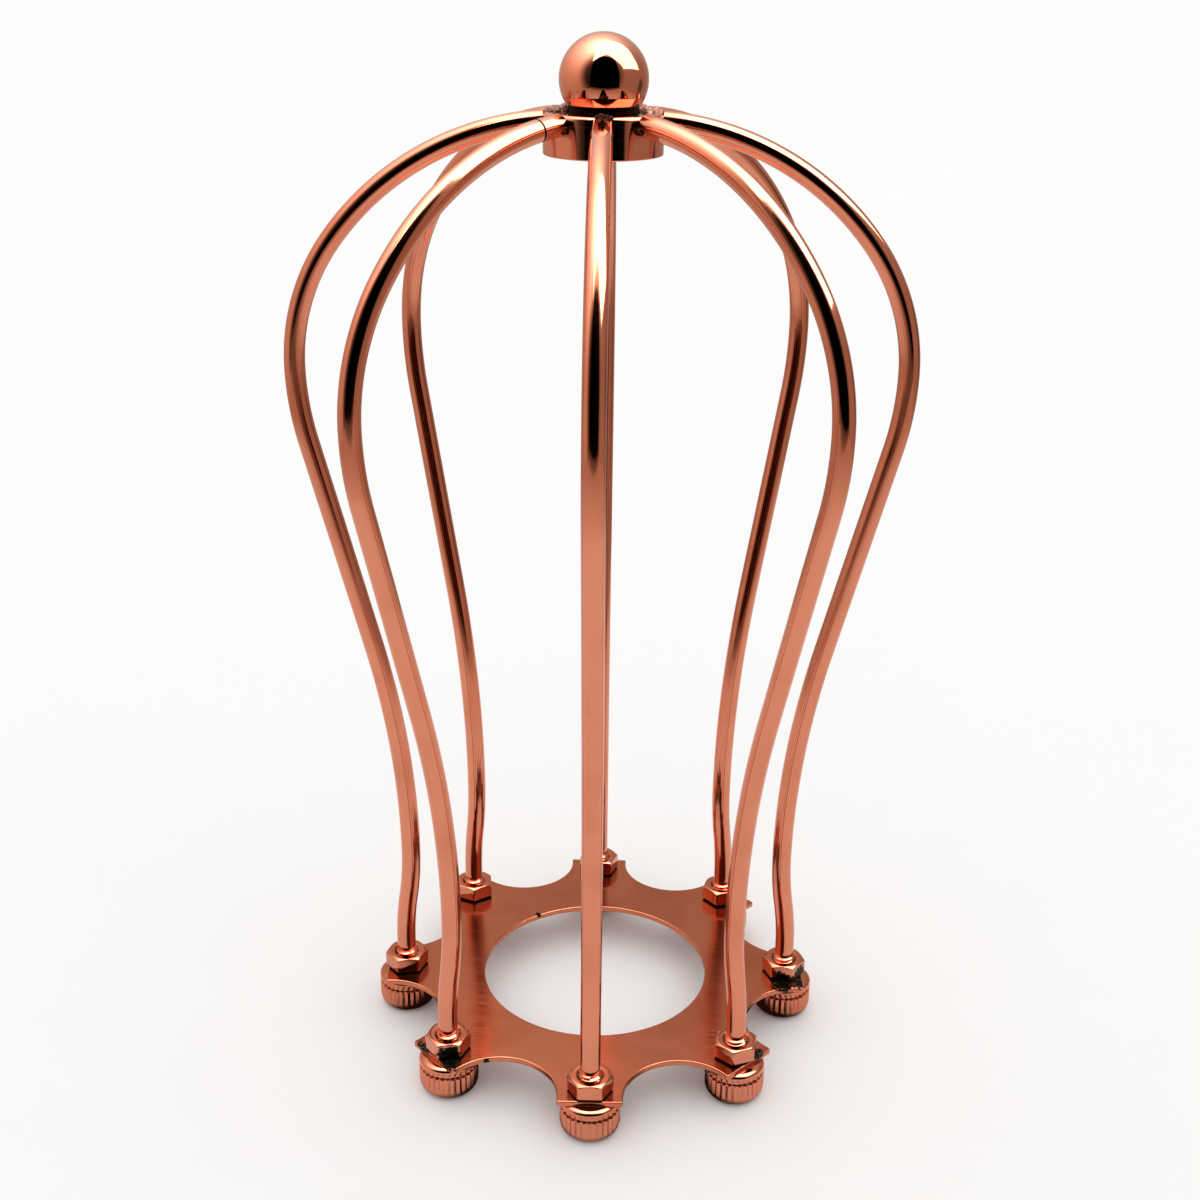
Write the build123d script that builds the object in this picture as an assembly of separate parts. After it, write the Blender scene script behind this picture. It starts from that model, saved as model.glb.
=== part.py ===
from build123d import *
import math
import os

# Balloon-shaped wire cage lampshade with a copper-coloured plating.
# Eight bent wire ribs are welded to a drawn cap at the top. Their threaded feet pass through the
# ears of a scalloped base plate, with a hex nut above and a knurled cap nut below each ear.
# The cage stands on the cap nuts. Millimetres, +Z up, origin on the axis under the cap nuts.

# Ribs
rib_count = 8
wire_diameter = 3.5
foot_circle_diameter = 72.0
foot_straight = 2.0
waist_rise = 25.0
waist_inset = 1.5
flare_rise = 91.8
flare_reach = 16.2
flare_angle = 14.2
bulge_lower_radius = 52.0
bulge_upper_radius = 35.0
bulge_upper_turn = 36.0
dome_rise = 41.4
rib_end_drop = 1.6
rib_overrun = 1.0

# Threads of the rib feet and of the finial screw
thread_diameter = 4.0
thread_clearance = 0.05
thread_show = 0.5
thread_end_gap = 0.4
stud_hole_diameter = 4.3

# Base plate, whose ears and scallop centres lie outside the foot circle
plate_thickness = 1.0
ear_reach = 3.4
scallop_reach = 5.1
scallop_diameter = 20.2
ear_corner_radius = 0.4
lampholder_hole_diameter = 42.0

# Hex nuts, each left at its own angle by the spanner
hex_across_flats = 7.0
hex_nut_height = 3.2
hex_face_diameter = 6.6
hex_chamfer_angle = 30.0
countersink_diameter = 4.8
hex_nut_turns = (52.0, 26.0, 40.0, 20.0, 11.0, 22.0, 30.0, 6.0)

# Knurled cap nuts
cap_nut_diameter = 10.5
cap_nut_height = 7.0
cap_nut_floor = 1.6
cap_nut_rim_chamfer = 0.5
cap_nut_foot_radius = 2.2
knurl_count = 30
knurl_depth = 0.3
ring_groove_width = 0.5
ring_groove_depth = 0.45
ring_groove_drop = 2.2

# Cap
cap_diameter = 19.0
cap_height = 6.5
cap_wall = 1.0
cap_top_thickness = 1.2
cap_corner_radius = 0.7

# Ball finial and the screw that holds it from below
ball_diameter = 14.0
ball_centre_rise = 3.7
collar_diameter = 11.2
collar_height = 1.1
ball_bore_depth = 8.0
screw_head_diameter = 7.5
screw_head_height = 2.2
screw_head_chamfer = 0.6
screw_slot_width = 1.0
screw_slot_depth = 1.1
screw_tip_gap = 1.0

# Radii and heights that follow from these
wire_radius = wire_diameter / 2
thread_radius = thread_diameter / 2
tapped_radius = thread_radius + thread_clearance
foot_radius = foot_circle_diameter / 2
waist_radius = foot_radius - waist_inset
bulge_radius = waist_radius + flare_reach
cap_radius = cap_diameter / 2
plate_across_flats = foot_circle_diameter + 2 * ear_reach
scallop_circle_diameter = foot_circle_diameter + 2 * scallop_reach
plate_top = cap_nut_height + plate_thickness
hex_nut_top = plate_top + hex_nut_height
thread_top = hex_nut_top + thread_show
thread_bottom = cap_nut_floor + thread_end_gap
bend_start = thread_top + foot_straight
waist_height = plate_top + waist_rise
bulge_height = waist_height + flare_rise
cap_top = bulge_height + dome_rise
cap_ceiling = cap_top - cap_top_thickness
collar_top = cap_top + collar_height
rib_pitch = 360.0 / rib_count


def bar(radius, bottom, top):
    """Round bar on the axis between two heights."""
    return Pos(0, 0, bottom) * extrude(Circle(radius), top - bottom)


def turned(*points):
    """Solid of revolution about the axis, from a closed outline of (radius, height) points."""
    return revolve(Plane.XZ * Polygon(*points), Axis.Z)


def at_foot(index):
    """Place of one rib foot on the foot circle."""
    return Rot(0, 0, index * rib_pitch) * Pos(foot_radius, 0, 0)


def rib_centreline():
    """Centreline of the wire from its thread to the cap, as straight runs and tangent arcs."""
    lean = math.radians(flare_angle)
    rounding = 1 - math.cos(lean)
    both_radii = (flare_rise * math.sin(lean) - flare_reach * math.cos(lean)) / rounding
    straight = (flare_reach * math.sin(lean) - flare_rise * rounding) / rounding
    flare_radius = both_radii - bulge_lower_radius

    foot = Vector(foot_radius, bend_start)
    waist = Vector(waist_radius, waist_height)
    flare_start = waist + Vector(flare_radius * rounding, flare_radius * math.sin(lean))
    flare_end = flare_start + Vector(math.sin(lean), math.cos(lean)) * straight
    bulge = Vector(bulge_radius, bulge_height)
    weld = Vector(cap_radius - rib_overrun, cap_top - rib_end_drop)

    stem = Line((foot_radius, thread_top), foot)
    inward = TangentArc(foot, (foot + waist) / 2, tangent=(0, 1))
    upright = TangentArc(inward @ 1, waist, tangent=inward % 1)
    outward = TangentArc(waist, flare_start, tangent=(0, 1))
    flare = Line(flare_start, flare_end)
    belly = TangentArc(flare_end, bulge, tangent=flare % 1)
    dome = JernArc(bulge, (0, 1), bulge_upper_radius, bulge_upper_turn)
    shoulder = TangentArc(dome @ 1, weld, tangent=dome % 1)
    return Plane.XZ * Wire([stem, inward, upright, outward, flare, belly, dome, shoulder])


def rib():
    """Rib on the +X side: threaded foot and bent wire, its upper end coped to the wall of the cap."""
    section = Pos(foot_radius, 0, thread_top) * Circle(wire_radius)
    wire = sweep(section, path=rib_centreline())
    thread = Pos(foot_radius, 0, 0) * bar(thread_radius, thread_bottom, thread_top)
    cope = bar(cap_radius, plate_top, cap_top + wire_diameter)
    return wire + thread - cope


def base_plate():
    """Octagonal sheet with a scallop punched from each corner, which leaves one ear for each rib."""
    outline = RegularPolygon(plate_across_flats / 2, rib_count, major_radius=False, rotation=rib_pitch / 2)
    for index in range(rib_count):
        corner = Rot(0, 0, (index + 0.5) * rib_pitch) * Pos(scallop_circle_diameter / 2, 0, 0)
        outline -= corner * Circle(scallop_diameter / 2)
    outline = fillet(outline.vertices(), ear_corner_radius)
    outline -= Circle(lampholder_hole_diameter / 2)
    for index in range(rib_count):
        outline -= at_foot(index) * Circle(stud_hole_diameter / 2)
    return Pos(0, 0, cap_nut_height) * extrude(outline, plate_thickness)


def hex_nut():
    """Hex nut on the axis at its height on the plate, chamfered at both faces, countersunk above."""
    corner_radius = hex_across_flats / 2 / math.cos(math.radians(30))
    face_radius = hex_face_diameter / 2
    chamfer_drop = (corner_radius - face_radius) * math.tan(math.radians(hex_chamfer_angle))
    sink_radius = countersink_diameter / 2
    sink_drop = sink_radius - tapped_radius
    blank = Pos(0, 0, plate_top) * extrude(RegularPolygon(corner_radius, 6), hex_nut_height)
    chamfered = turned(
        (tapped_radius, plate_top),
        (face_radius, plate_top),
        (corner_radius, plate_top + chamfer_drop),
        (corner_radius, hex_nut_top - chamfer_drop),
        (face_radius, hex_nut_top),
        (sink_radius, hex_nut_top),
        (tapped_radius, hex_nut_top - sink_drop),
    )
    return blank & chamfered


def knurl_outline():
    """Outline of the knurled band: straight V flutes side by side around the nut."""
    crest_radius = cap_nut_diameter / 2
    root_radius = crest_radius - knurl_depth
    flute_pitch = 360.0 / knurl_count
    points = []
    for index in range(knurl_count):
        crest = index * flute_pitch
        points.append(Vector(crest_radius, 0).rotate(Axis.Z, crest))
        points.append(Vector(root_radius, 0).rotate(Axis.Z, crest + flute_pitch / 2))
    return Polygon(*points)


def cap_nut():
    """Knurled blind nut on the axis, with a ring groove round it and a well-rounded foot."""
    radius = cap_nut_diameter / 2
    groove_top = cap_nut_height - ring_groove_drop
    groove_bottom = groove_top - ring_groove_width
    groove_radius = radius - ring_groove_depth
    rim_bottom = cap_nut_height - cap_nut_rim_chamfer
    blank = turned(
        (0, 0),
        (radius, 0),
        (radius, groove_bottom),
        (groove_radius, groove_bottom),
        (groove_radius, groove_top),
        (radius, groove_top),
        (radius, rim_bottom),
        (radius - cap_nut_rim_chamfer, cap_nut_height),
        (tapped_radius, cap_nut_height),
        (tapped_radius, cap_nut_floor),
        (0, cap_nut_floor),
    )
    blank = fillet(blank.edges().group_by(Axis.Z)[0], cap_nut_foot_radius)
    flutes = extrude(Circle(cap_nut_diameter) - knurl_outline(), rim_bottom - cap_nut_foot_radius)
    return blank - Pos(0, 0, cap_nut_foot_radius) * flutes


def cap():
    """Drawn cup, open below, with a rounded top corner and a hole for the finial screw."""
    shell = bar(cap_radius, cap_top - cap_height, cap_top)
    shell = fillet(shell.edges().group_by(Axis.Z)[-1], cap_corner_radius)
    shell -= bar(cap_radius - cap_wall, cap_top - cap_height, cap_ceiling)
    return shell - bar(stud_hole_diameter / 2, cap_ceiling, cap_top)


def ball_finial():
    """Turned ball on a short collar, tapped from below."""
    ball = Pos(0, 0, collar_top + ball_centre_rise) * Sphere(ball_diameter / 2)
    ball -= bar(ball_diameter, cap_top - ball_diameter, collar_top)
    ball += bar(collar_diameter / 2, cap_top, collar_top)
    return ball - bar(tapped_radius, cap_top, cap_top + ball_bore_depth)


def finial_screw():
    """Slotted pan-head screw from inside the cap up into the ball."""
    head_bottom = cap_ceiling - screw_head_height
    head = bar(screw_head_diameter / 2, head_bottom, cap_ceiling)
    head = chamfer(head.edges().group_by(Axis.Z)[0], screw_head_chamfer)
    slot = Pos(0, 0, head_bottom) * Box(screw_head_diameter, screw_slot_width, 2 * screw_slot_depth)
    shank = bar(thread_radius, cap_ceiling, cap_top + ball_bore_depth - screw_tip_gap)
    return head - slot + shank


os.makedirs("parts", exist_ok=True)

one_rib = rib()
one_cap_nut = cap_nut()
one_hex_nut = hex_nut()
hex_nuts = []
for index in range(rib_count):
    export_step(Rot(0, 0, index * rib_pitch) * one_rib, f"parts/rib_{index + 1}.step")
    export_step(at_foot(index) * one_cap_nut, f"parts/cap_nut_{index + 1}.step")
    turn = hex_nut_turns[index % len(hex_nut_turns)]
    hex_nuts.append(at_foot(index) * Rot(0, 0, turn) * one_hex_nut)

export_step(Compound(hex_nuts), "parts/hex_nuts.step")
export_step(base_plate(), "parts/base_plate.step")
export_step(cap(), "parts/cap.step")
export_step(ball_finial(), "parts/ball_finial.step")
export_step(finial_screw(), "parts/finial_screw.step")
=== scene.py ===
"""Copper-plated wire cage lampshade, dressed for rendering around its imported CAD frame.

Sizes are millimetres unless a line says otherwise. Meshes are modelled in millimetres too and are brought
to metres as they are handed over, so that every object sits at the origin with its place in its mesh.
"""

import logging
import math
from collections.abc import Iterable
from dataclasses import dataclass, field, replace
from enum import Enum

import bmesh
import bpy
from mathutils import Matrix, Vector, noise


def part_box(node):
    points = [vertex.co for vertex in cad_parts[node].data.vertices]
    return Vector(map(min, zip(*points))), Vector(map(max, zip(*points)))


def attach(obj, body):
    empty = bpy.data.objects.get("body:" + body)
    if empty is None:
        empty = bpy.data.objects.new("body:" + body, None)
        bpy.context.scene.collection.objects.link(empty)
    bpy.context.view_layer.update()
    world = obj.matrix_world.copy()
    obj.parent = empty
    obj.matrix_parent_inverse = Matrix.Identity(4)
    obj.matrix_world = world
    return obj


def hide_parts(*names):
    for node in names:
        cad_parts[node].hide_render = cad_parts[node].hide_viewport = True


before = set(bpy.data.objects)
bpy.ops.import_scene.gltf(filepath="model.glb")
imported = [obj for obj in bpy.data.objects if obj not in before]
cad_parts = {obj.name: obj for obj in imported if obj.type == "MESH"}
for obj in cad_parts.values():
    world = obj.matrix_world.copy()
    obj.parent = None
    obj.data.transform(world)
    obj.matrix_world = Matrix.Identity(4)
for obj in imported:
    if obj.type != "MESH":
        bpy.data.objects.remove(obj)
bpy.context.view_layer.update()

LOG = logging.getLogger("cage_lampshade")
MM = 0.001
ORIGIN = (0.0, 0.0, 0.0)
UPRIGHT = (0.0, 0.0, 1.0)
RIB_COUNT = 8
RIB_PITCH = math.radians(360.0 / RIB_COUNT)
SMOOTH_BELOW = math.radians(32.0)
# Points closer together than this are one point.
TOUCHING = 1e-4
# Faces round a large turned piece.
TURN_STEPS = 128
WIRE_LAY = "wire_lay"
WELD_GRAIN = "weld_grain"

Point = tuple[float, float]
BMesh = bmesh.types.BMesh
Material = bpy.types.Material
NodeTree = bpy.types.NodeTree
Socket = bpy.types.NodeSocket


class Slot(Enum):
    """Names of the record's material slots for the pieces here."""

    WIRE = "wire"
    PLATE = "plate"
    CAP = "cap"
    BALL = "ball"
    HEX_NUT = "hex_nut"
    KNURLED_NUT = "knurled_nut"


class Lay(Enum):
    """Axes along which the marks of the making run long."""

    DRAWN = (False, False, True)
    ROLLED = (True, False, False)
    TURNED = (True, True, False)
    POLISHED = (False, False, False)


class Blemish(Enum):
    """Colour and roughness of what mars the plating, and of painted shade."""

    PIT = ("#5A2A18", 0.5)
    RESIDUE = ("#0D0A07", 0.5)
    DUST = ("#8C8A70", 0.6)
    SCORCH = ("#8A5A42", 0.22)
    # Painted shade in crevices, and the dark ring of a seam.
    SEAM_AND_PAINTED_SHADE = ("#0D0705", 0.5)


def linear(code: str) -> tuple[float, float, float, float]:
    """Turn an sRGB hex colour to linear.

    Args:
        code: Colour such as "#D8876A".

    Returns:
        Linear red, green, blue and an alpha of 1.
    """
    channels = [int(code[index:index + 2], 16) / 255 for index in (1, 3, 5)]
    red, green, blue = [c / 12.92 if c <= 0.04045 else ((c + 0.055) / 1.055) ** 2.4 for c in channels]
    return red, green, blue, 1.0


def add_node(
        tree: NodeTree, kind: str, settings: dict | None = None, links: dict | None = None) -> bpy.types.Node:
    """Add one node to a tree.

    Args:
        tree: Node tree that takes the node.
        kind: Blender's type name of the node.
        settings: Values by property name, or by the name or index of an input socket.
        links: Output sockets by the name or index of the input that each one feeds.

    Returns:
        The new node.
    """
    node = tree.nodes.new(kind)
    for key, value in (settings or {}).items():
        if isinstance(key, str) and hasattr(node, key):
            setattr(node, key, value)
        else:
            node.inputs[key].default_value = value
    for key, source in (links or {}).items():
        tree.links.new(source, node.inputs[key])
    return node


def new_material(name: str) -> tuple[Material, NodeTree]:
    """Make a material with an empty node tree.

    Args:
        name: Name of the material.

    Returns:
        The material and its tree.
    """
    material = bpy.data.materials.new(name)
    material.use_nodes = True
    material.node_tree.nodes.clear()
    return material, material.node_tree


def box_mm(node: str) -> tuple[Vector, Vector]:
    """Give the lowest and highest corners of a CAD node in millimetres."""
    low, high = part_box(node)
    return Vector(low) / MM, Vector(high) / MM


def foot_circle() -> float:
    """Give the radius of the circle on which the ribs stand."""
    low, high = box_mm("cap_nut_1")
    return (low.x + high.x) / 2


def at_rib(index: int) -> Matrix:
    """Give the turn from the +X side to a rib's side."""
    return Matrix.Rotation(index * RIB_PITCH, 4, "Z")


def round_edges(mesh: BMesh, edges: list[bmesh.types.BMEdge], rounding: float, segments: int) -> None:
    """Round some edges of a mesh."""
    bmesh.ops.bevel(
        mesh, geom=edges, offset=rounding, offset_type="OFFSET", affect="EDGES", segments=segments,
        profile=0.5, material=-1, clamp_overlap=True)


def hand_over(mesh: BMesh, name: str, material: Material) -> bpy.types.Object:
    """Turn a finished mesh in millimetres into an object of the scene.

    Args:
        mesh: The finished mesh, which is freed.
        name: Name of the object.
        material: Material of all its faces.

    Returns:
        The object, at the origin.
    """
    bmesh.ops.scale(mesh, vec=(MM, MM, MM), verts=mesh.verts)
    for face in mesh.faces:
        face.smooth = True
    data = bpy.data.meshes.new(name)
    mesh.to_mesh(data)
    mesh.free()
    data.set_sharp_from_angle(angle=SMOOTH_BELOW)
    data.materials.append(material)
    piece = bpy.data.objects.new(name, data)
    bpy.context.scene.collection.objects.link(piece)
    return piece


def fit_piece(mesh: BMesh, name: str, material: Material, slot: Slot, *nodes: str) -> None:
    """Hand over a piece of the lampshade and tie it to the CAD frame.

    Args:
        mesh: The finished mesh in millimetres.
        name: Name of the piece.
        material: Material of all its faces.
        slot: Slot of the record for the piece; not used.
        nodes: CAD nodes that it stands for.
    """
    piece = hand_over(mesh, name, material)
    piece.modifiers.new("true_flats", "WEIGHTED_NORMAL").keep_sharp = True
    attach(piece, "root")
    if nodes:
        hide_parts(*nodes)
    stands_for = ", ".join(nodes) or "nothing in CAD"
    LOG.info("%s: %d faces, stands for %s", name, len(piece.data.polygons), stands_for)


@dataclass(frozen=True)
class Stain:
    """Patch of dark residue with pale specks on a plated face.

    Attributes:
        x: Place of the patch across the object.
        y: Place of the patch along the object.
        z: Height of its middle.
        radius: How far the patch reaches.
        dust: Share of pale dust in its specks.
    """

    x: float
    y: float
    z: float
    radius: float
    dust: float = 0.5


@dataclass(frozen=True)
class PlatedCopper:
    """Bright electroplated copper on steel: a tinted mirror that keeps the marks of the metal under it.

    Attributes:
        name: Name of the material.
        lay: Which way the marks of the making run.
        colour: Colour of the plating.
        shade: Colour where the plating is thin or fingered.
        shade_share: Share of that colour where the plating is thinnest.
        shade_range: Values of its noise at which the shade begins and is full.
        roughness: Roughness of the cleanest plating.
        dulling: Roughness that the marks add.
        dulling_range: Values of the marks' noise at which the dulling begins and is full.
        lay_mm: Spacing of the marks.
        lay_length_mm: Length of the marks.
        lay_depth_mm: Depth of the marks.
        peel_mm: Spacing of the soft waviness of the plating.
        peel_depth_mm: Depth of that waviness.
        tone_mm: Size of the patches of thinner plating.
        pit_spacing_mm: Spacing of the places that may hold a pit.
        pit_mm: Width of a pit.
        pit_share: Share of those places that do hold one.
        stains: Patches of dark residue.
        grit_mm: Size of the grit that frays a stain's edge.
        dust_mm: Size of the pale specks on a stain.
        dust_range: Values of the specks' noise at which a speck begins and is full.
        stain_swell: Weight of a stain's middle over the grit.
        stain_edge: Sums of both at which a stain begins and is full.
        scorch_mm: Where along the wire the weld's heat begins and ends to show.
        scorch_share: Share of the scorched colour at the end.
        crevice_mm: Heights, or lengths along the wire, of a dark band: painted shade in crevices, a real seam
            on one rib.
        crevice_blur: Half the width of the lower and of the upper border of that band.
    """

    name: str
    lay: Lay
    colour: str = "#D8876A"
    shade: str = "#BC6849"
    shade_share: float = 0.6
    shade_range: Point = (0.45, 0.8)
    roughness: float = 0.06
    dulling: float = 0.08
    dulling_range: Point = (0.35, 0.75)
    # Real marks lie a few hundredths of a millimetre apart. They are drawn as coarse as they need to show.
    lay_mm: float = 0.3
    lay_length_mm: float = 30.0
    lay_depth_mm: float = 0.0012
    peel_mm: float = 4.0
    peel_depth_mm: float = 0.006
    tone_mm: float = 14.0
    pit_spacing_mm: float = 5.0
    pit_mm: float = 0.4
    pit_share: float = 0.06
    stains: tuple[Stain, ...] = ()
    grit_mm: float = 0.6
    dust_mm: float = 0.3
    dust_range: Point = (0.56, 0.64)
    stain_swell: float = 1.1
    stain_edge: Point = (0.9, 1.05)
    scorch_mm: Point | None = None
    scorch_share: float = 0.75
    crevice_mm: Point | None = None
    crevice_blur: Point = (0.05, 0.06)

    def material(self) -> Material:
        """Build the plating.

        Returns:
            A material for pieces of this finish.
        """
        material, tree = new_material(self.name)
        place = self._place(tree)
        lengths = [self.lay_length_mm if long else self.lay_mm for long in self.lay.value]
        scales = [1 / (MM * length) for length in lengths]
        along = add_node(tree, "ShaderNodeMapping", {"Scale": scales}, {"Vector": place})
        marks = add_node(
            tree, "ShaderNodeTexNoise", {"Scale": 1.0, "Detail": 2.0}, {"Vector": along.outputs[0]})
        peel = add_node(
            tree, "ShaderNodeTexNoise", {"Scale": 1 / (MM * self.peel_mm), "Detail": 1.0}, {"Vector": place})
        tone = add_node(
            tree, "ShaderNodeTexNoise", {"Scale": 1 / (MM * self.tone_mm), "Detail": 5.0}, {"Vector": place})

        start, full = self.shade_range
        thin = add_node(
            tree, "ShaderNodeMapRange", {"From Min": start, "From Max": full, "To Max": self.shade_share},
            {"Value": tone.outputs[0]})
        colour = add_node(
            tree, "ShaderNodeMix", {"data_type": "RGBA", 6: linear(self.colour), 7: linear(self.shade)},
            {0: thin.outputs[0]}).outputs[2]
        start, full = self.dulling_range
        limits = {"To Min": self.roughness, "To Max": self.roughness + self.dulling}
        rough = add_node(
            tree, "ShaderNodeMapRange", {"From Min": start, "From Max": full, **limits},
            {"Value": marks.outputs[0]}).outputs[0]
        for mask, blemish in self._blemishes(tree, place):
            tint, dull = blemish.value
            colour = add_node(
                tree, "ShaderNodeMix", {"data_type": "RGBA", 7: linear(tint)},
                {0: mask, 6: colour}).outputs[2]
            rough = add_node(tree, "ShaderNodeMix", {3: dull}, {0: mask, 2: rough}).outputs[0]

        waves = add_node(
            tree, "ShaderNodeBump", {"Distance": MM * self.peel_depth_mm}, {"Height": peel.outputs[0]})
        lines = add_node(
            tree, "ShaderNodeBump", {"Distance": MM * self.lay_depth_mm},
            {"Height": marks.outputs[0], "Normal": waves.outputs[0]})
        plating = add_node(
            tree, "ShaderNodeBsdfPrincipled", {"Metallic": 1.0},
            {"Base Color": colour, "Roughness": rough, "Normal": lines.outputs[0]})
        add_node(tree, "ShaderNodeOutputMaterial", links={"Surface": plating.outputs[0]})
        return material

    def _place(self, tree: NodeTree) -> Socket:
        """Give the coordinates of the marks.

        Args:
            tree: Tree of the material.

        Returns:
            The unbent wire's own coordinates for a drawn wire, and the object's for all else.
        """
        if self.lay is Lay.DRAWN:
            return add_node(tree, "ShaderNodeAttribute", {"attribute_name": WIRE_LAY}).outputs["Vector"]
        return add_node(tree, "ShaderNodeTexCoord").outputs["Object"]

    def _blemishes(self, tree: NodeTree, place: Socket) -> Iterable[tuple[Socket, Blemish]]:
        """Draw the masks of all that mars the plating.

        Args:
            tree: Tree of the material.
            place: Coordinates of the marks.

        Yields:
            A mask and what it shows.
        """
        yield self._pits(tree, place), Blemish.PIT
        yield from self._residue(tree, place)
        if self.scorch_mm:
            start, end = self.scorch_mm
            run = add_node(tree, "ShaderNodeSeparateXYZ", links={0: place}).outputs[2]
            heat = add_node(
                tree, "ShaderNodeMapRange",
                {"From Min": start * MM, "From Max": end * MM, "To Max": self.scorch_share}, {"Value": run})
            yield heat.outputs[0], Blemish.SCORCH
        # The dark band is painted shade in the crevices under the hex nuts and the ball, and a real seam on
        # one rib.
        if self.crevice_mm:
            yield self._crevice(tree, place), Blemish.SEAM_AND_PAINTED_SHADE

    def _pits(self, tree: NodeTree, place: Socket) -> Socket:
        """Draw the mask of the pits.

        Args:
            tree: Tree of the material.
            place: Coordinates of the marks.

        Returns:
            The mask.
        """
        cells = add_node(
            tree, "ShaderNodeTexVoronoi", {"Scale": 1 / (MM * self.pit_spacing_mm)}, {"Vector": place})
        chance = add_node(tree, "ShaderNodeSeparateColor", links={0: cells.outputs["Color"]})
        chosen = add_node(
            tree, "ShaderNodeMath", {"operation": "LESS_THAN", 1: self.pit_share}, {0: chance.outputs[0]})
        reach = self.pit_mm / 2 / self.pit_spacing_mm
        near = add_node(
            tree, "ShaderNodeMath", {"operation": "LESS_THAN", 1: reach}, {0: cells.outputs["Distance"]})
        pits = add_node(
            tree, "ShaderNodeMath", {"operation": "MULTIPLY"}, {0: chosen.outputs[0], 1: near.outputs[0]})
        return pits.outputs[0]

    def _residue(self, tree: NodeTree, place: Socket) -> Iterable[tuple[Socket, Blemish]]:
        """Draw the masks of each stain and of the dust on it.

        Args:
            tree: Tree of the material.
            place: Coordinates of the marks.

        Yields:
            A mask and what it shows.
        """
        if not self.stains:
            return
        grit = add_node(
            tree, "ShaderNodeTexNoise", {"Scale": 1 / (MM * self.grit_mm), "Detail": 4.0}, {"Vector": place})
        dust = add_node(
            tree, "ShaderNodeTexNoise", {"Scale": 1 / (MM * self.dust_mm), "Detail": 2.0}, {"Vector": place})
        start, full = self.dust_range
        specks = add_node(
            tree, "ShaderNodeMapRange", {"From Min": start, "From Max": full}, {"Value": dust.outputs[0]})
        start, full = self.stain_edge
        for stain in self.stains:
            middle = (stain.x * MM, stain.y * MM, stain.z * MM)
            apart = add_node(tree, "ShaderNodeVectorMath", {"operation": "DISTANCE", 1: middle}, {0: place})
            reach = add_node(
                tree, "ShaderNodeMapRange",
                {"From Min": stain.radius * MM, "From Max": 0.0, "To Max": self.stain_swell},
                {"Value": apart.outputs["Value"]})
            grains = add_node(
                tree, "ShaderNodeMath", {"operation": "ADD"}, {0: reach.outputs[0], 1: grit.outputs[0]})
            mask = add_node(
                tree, "ShaderNodeMapRange", {"From Min": start, "From Max": full},
                {"Value": grains.outputs[0]})
            yield mask.outputs[0], Blemish.RESIDUE
            share = add_node(
                tree, "ShaderNodeMath", {"operation": "MULTIPLY", 1: stain.dust}, {0: specks.outputs[0]})
            dusty = add_node(
                tree, "ShaderNodeMath", {"operation": "MULTIPLY"}, {0: mask.outputs[0], 1: share.outputs[0]})
            yield dusty.outputs[0], Blemish.DUST

    def _crevice(self, tree: NodeTree, place: Socket) -> Socket:
        """Draw the mask of the dark band: painted shade in a crevice, and a seam's dark ring on the seamed
        rib.

        Args:
            tree: Tree of the material.
            place: Coordinates of the marks.

        Returns:
            The mask.
        """
        (low, high), (low_blur, high_blur) = self.crevice_mm, self.crevice_blur
        height = add_node(tree, "ShaderNodeSeparateXYZ", links={0: place}).outputs[2]
        above = add_node(
            tree, "ShaderNodeMapRange",
            {"From Min": (low - low_blur) * MM, "From Max": (low + low_blur) * MM}, {"Value": height})
        below = add_node(
            tree, "ShaderNodeMapRange",
            {"From Min": (high + high_blur) * MM, "From Max": (high - high_blur) * MM}, {"Value": height})
        band = add_node(
            tree, "ShaderNodeMath", {"operation": "MULTIPLY"}, {0: above.outputs[0], 1: below.outputs[0]})
        return band.outputs[0]


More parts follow.
